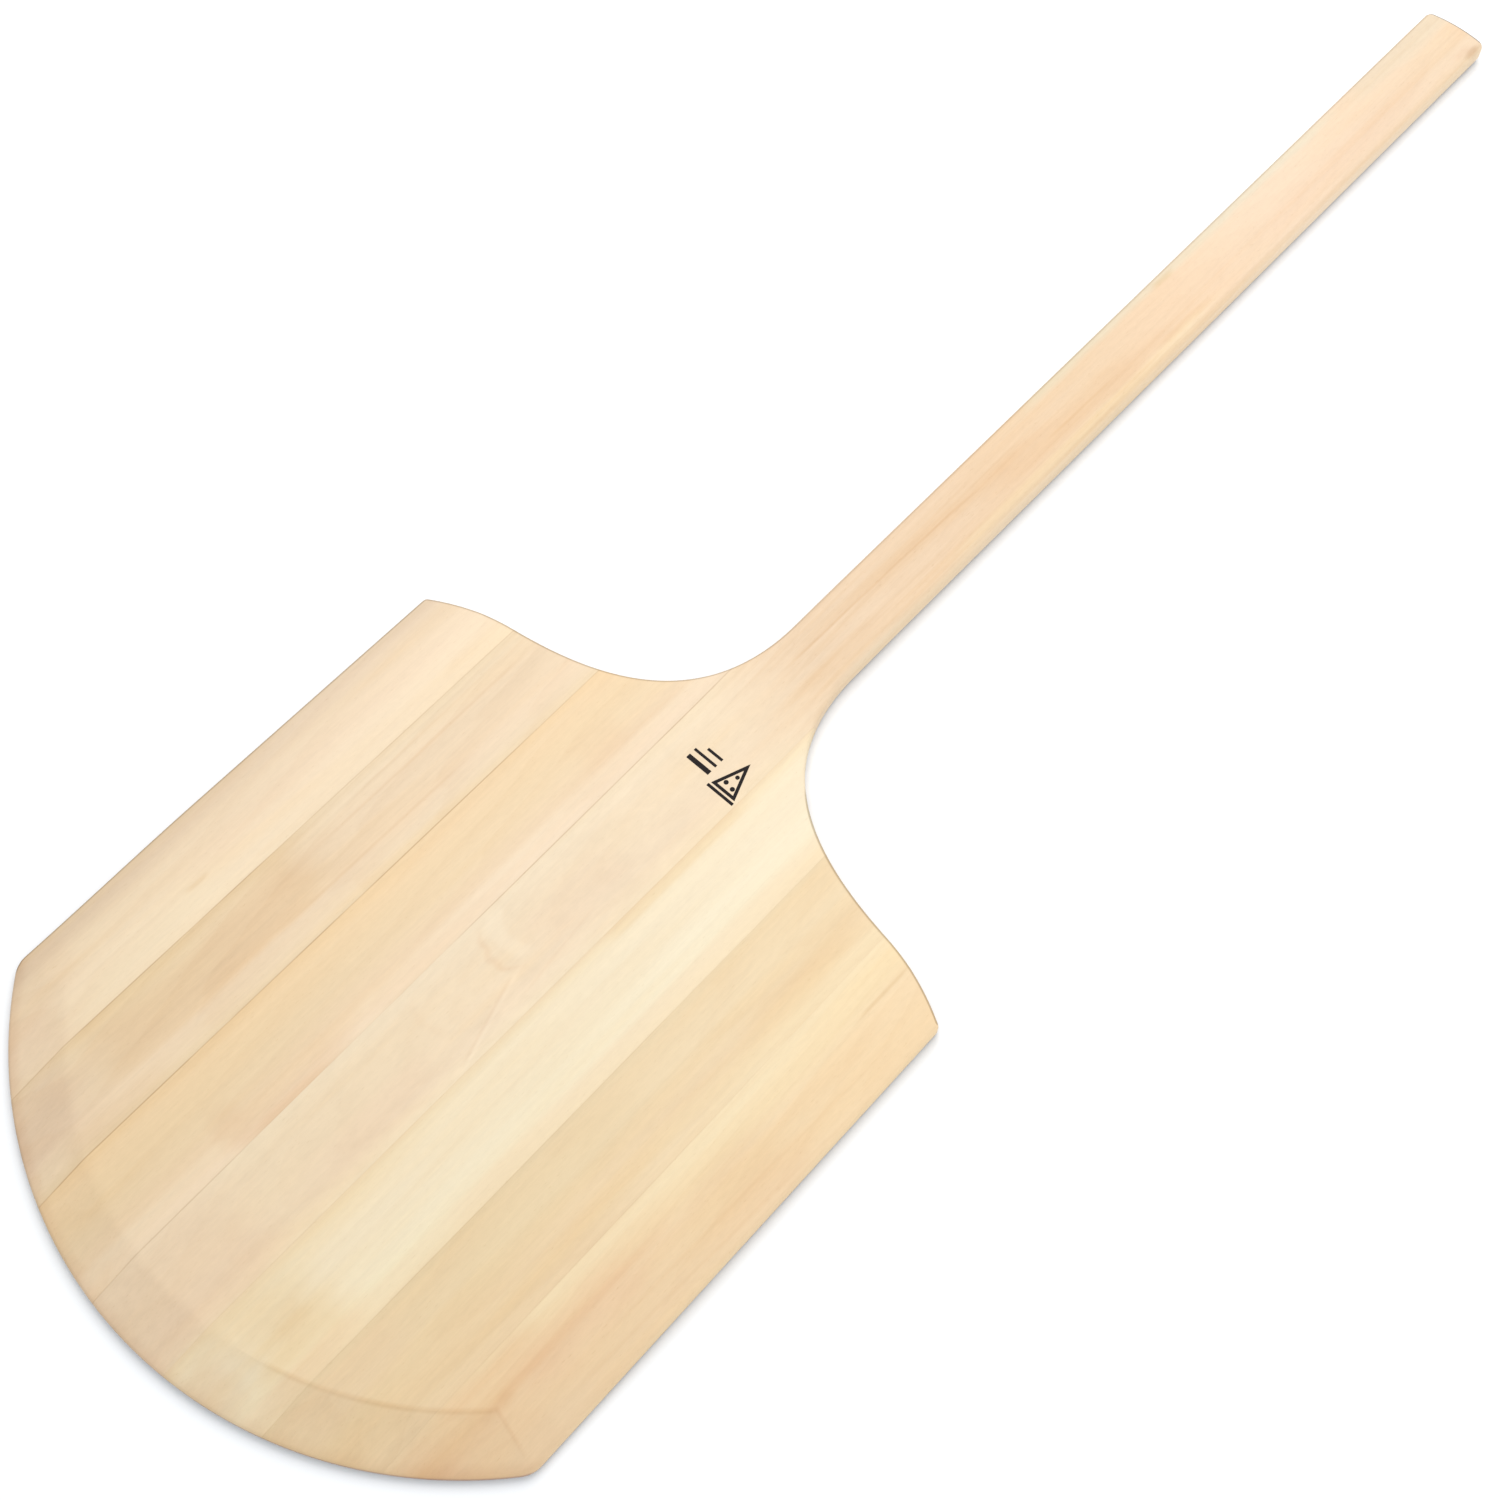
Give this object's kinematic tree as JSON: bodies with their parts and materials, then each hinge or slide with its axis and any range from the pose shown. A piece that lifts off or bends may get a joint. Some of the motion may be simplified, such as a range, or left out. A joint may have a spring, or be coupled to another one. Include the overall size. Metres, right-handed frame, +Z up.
{
  "type": "wooden pizza peel",
  "caption": "Long-handled wooden pizza peel: edge-glued pale staves, rounded bevelled front edge, curved shoulders and a straight handle that is one board with the middle stave.",
  "frame": {"origin": "on the flat underside, on the centre line, halfway between the blade's tip and the handle's end", "axes": "+Y runs from the blade's tip to the handle's end, +Z points up out of the deck, +X is to the right seen from above with the handle pointing away"},
  "size_m": [0.3556, 1.0668, 0.014],
  "materials": {
    "pinkish_cream_basswood": "sanded, unfinished",
    "greyish_tan_basswood": "sanded, unfinished",
    "warm_tan_basswood": "sanded, unfinished",
    "peach_basswood": "sanded, unfinished",
    "pale_yellow_basswood": "sanded, unfinished",
    "straw_basswood": "sanded, unfinished",
    "honey_basswood": "sanded, unfinished"
  },
  "bodies": {
    "root": {"left_outer_stave": "pinkish_cream_basswood", "left_middle_stave": "greyish_tan_basswood", "left_inner_stave": "warm_tan_basswood", "handle_board": "peach_basswood", "right_inner_stave": "pale_yellow_basswood", "right_middle_stave": "straw_basswood", "right_outer_stave": "honey_basswood"}
  },
  "joints": []
}
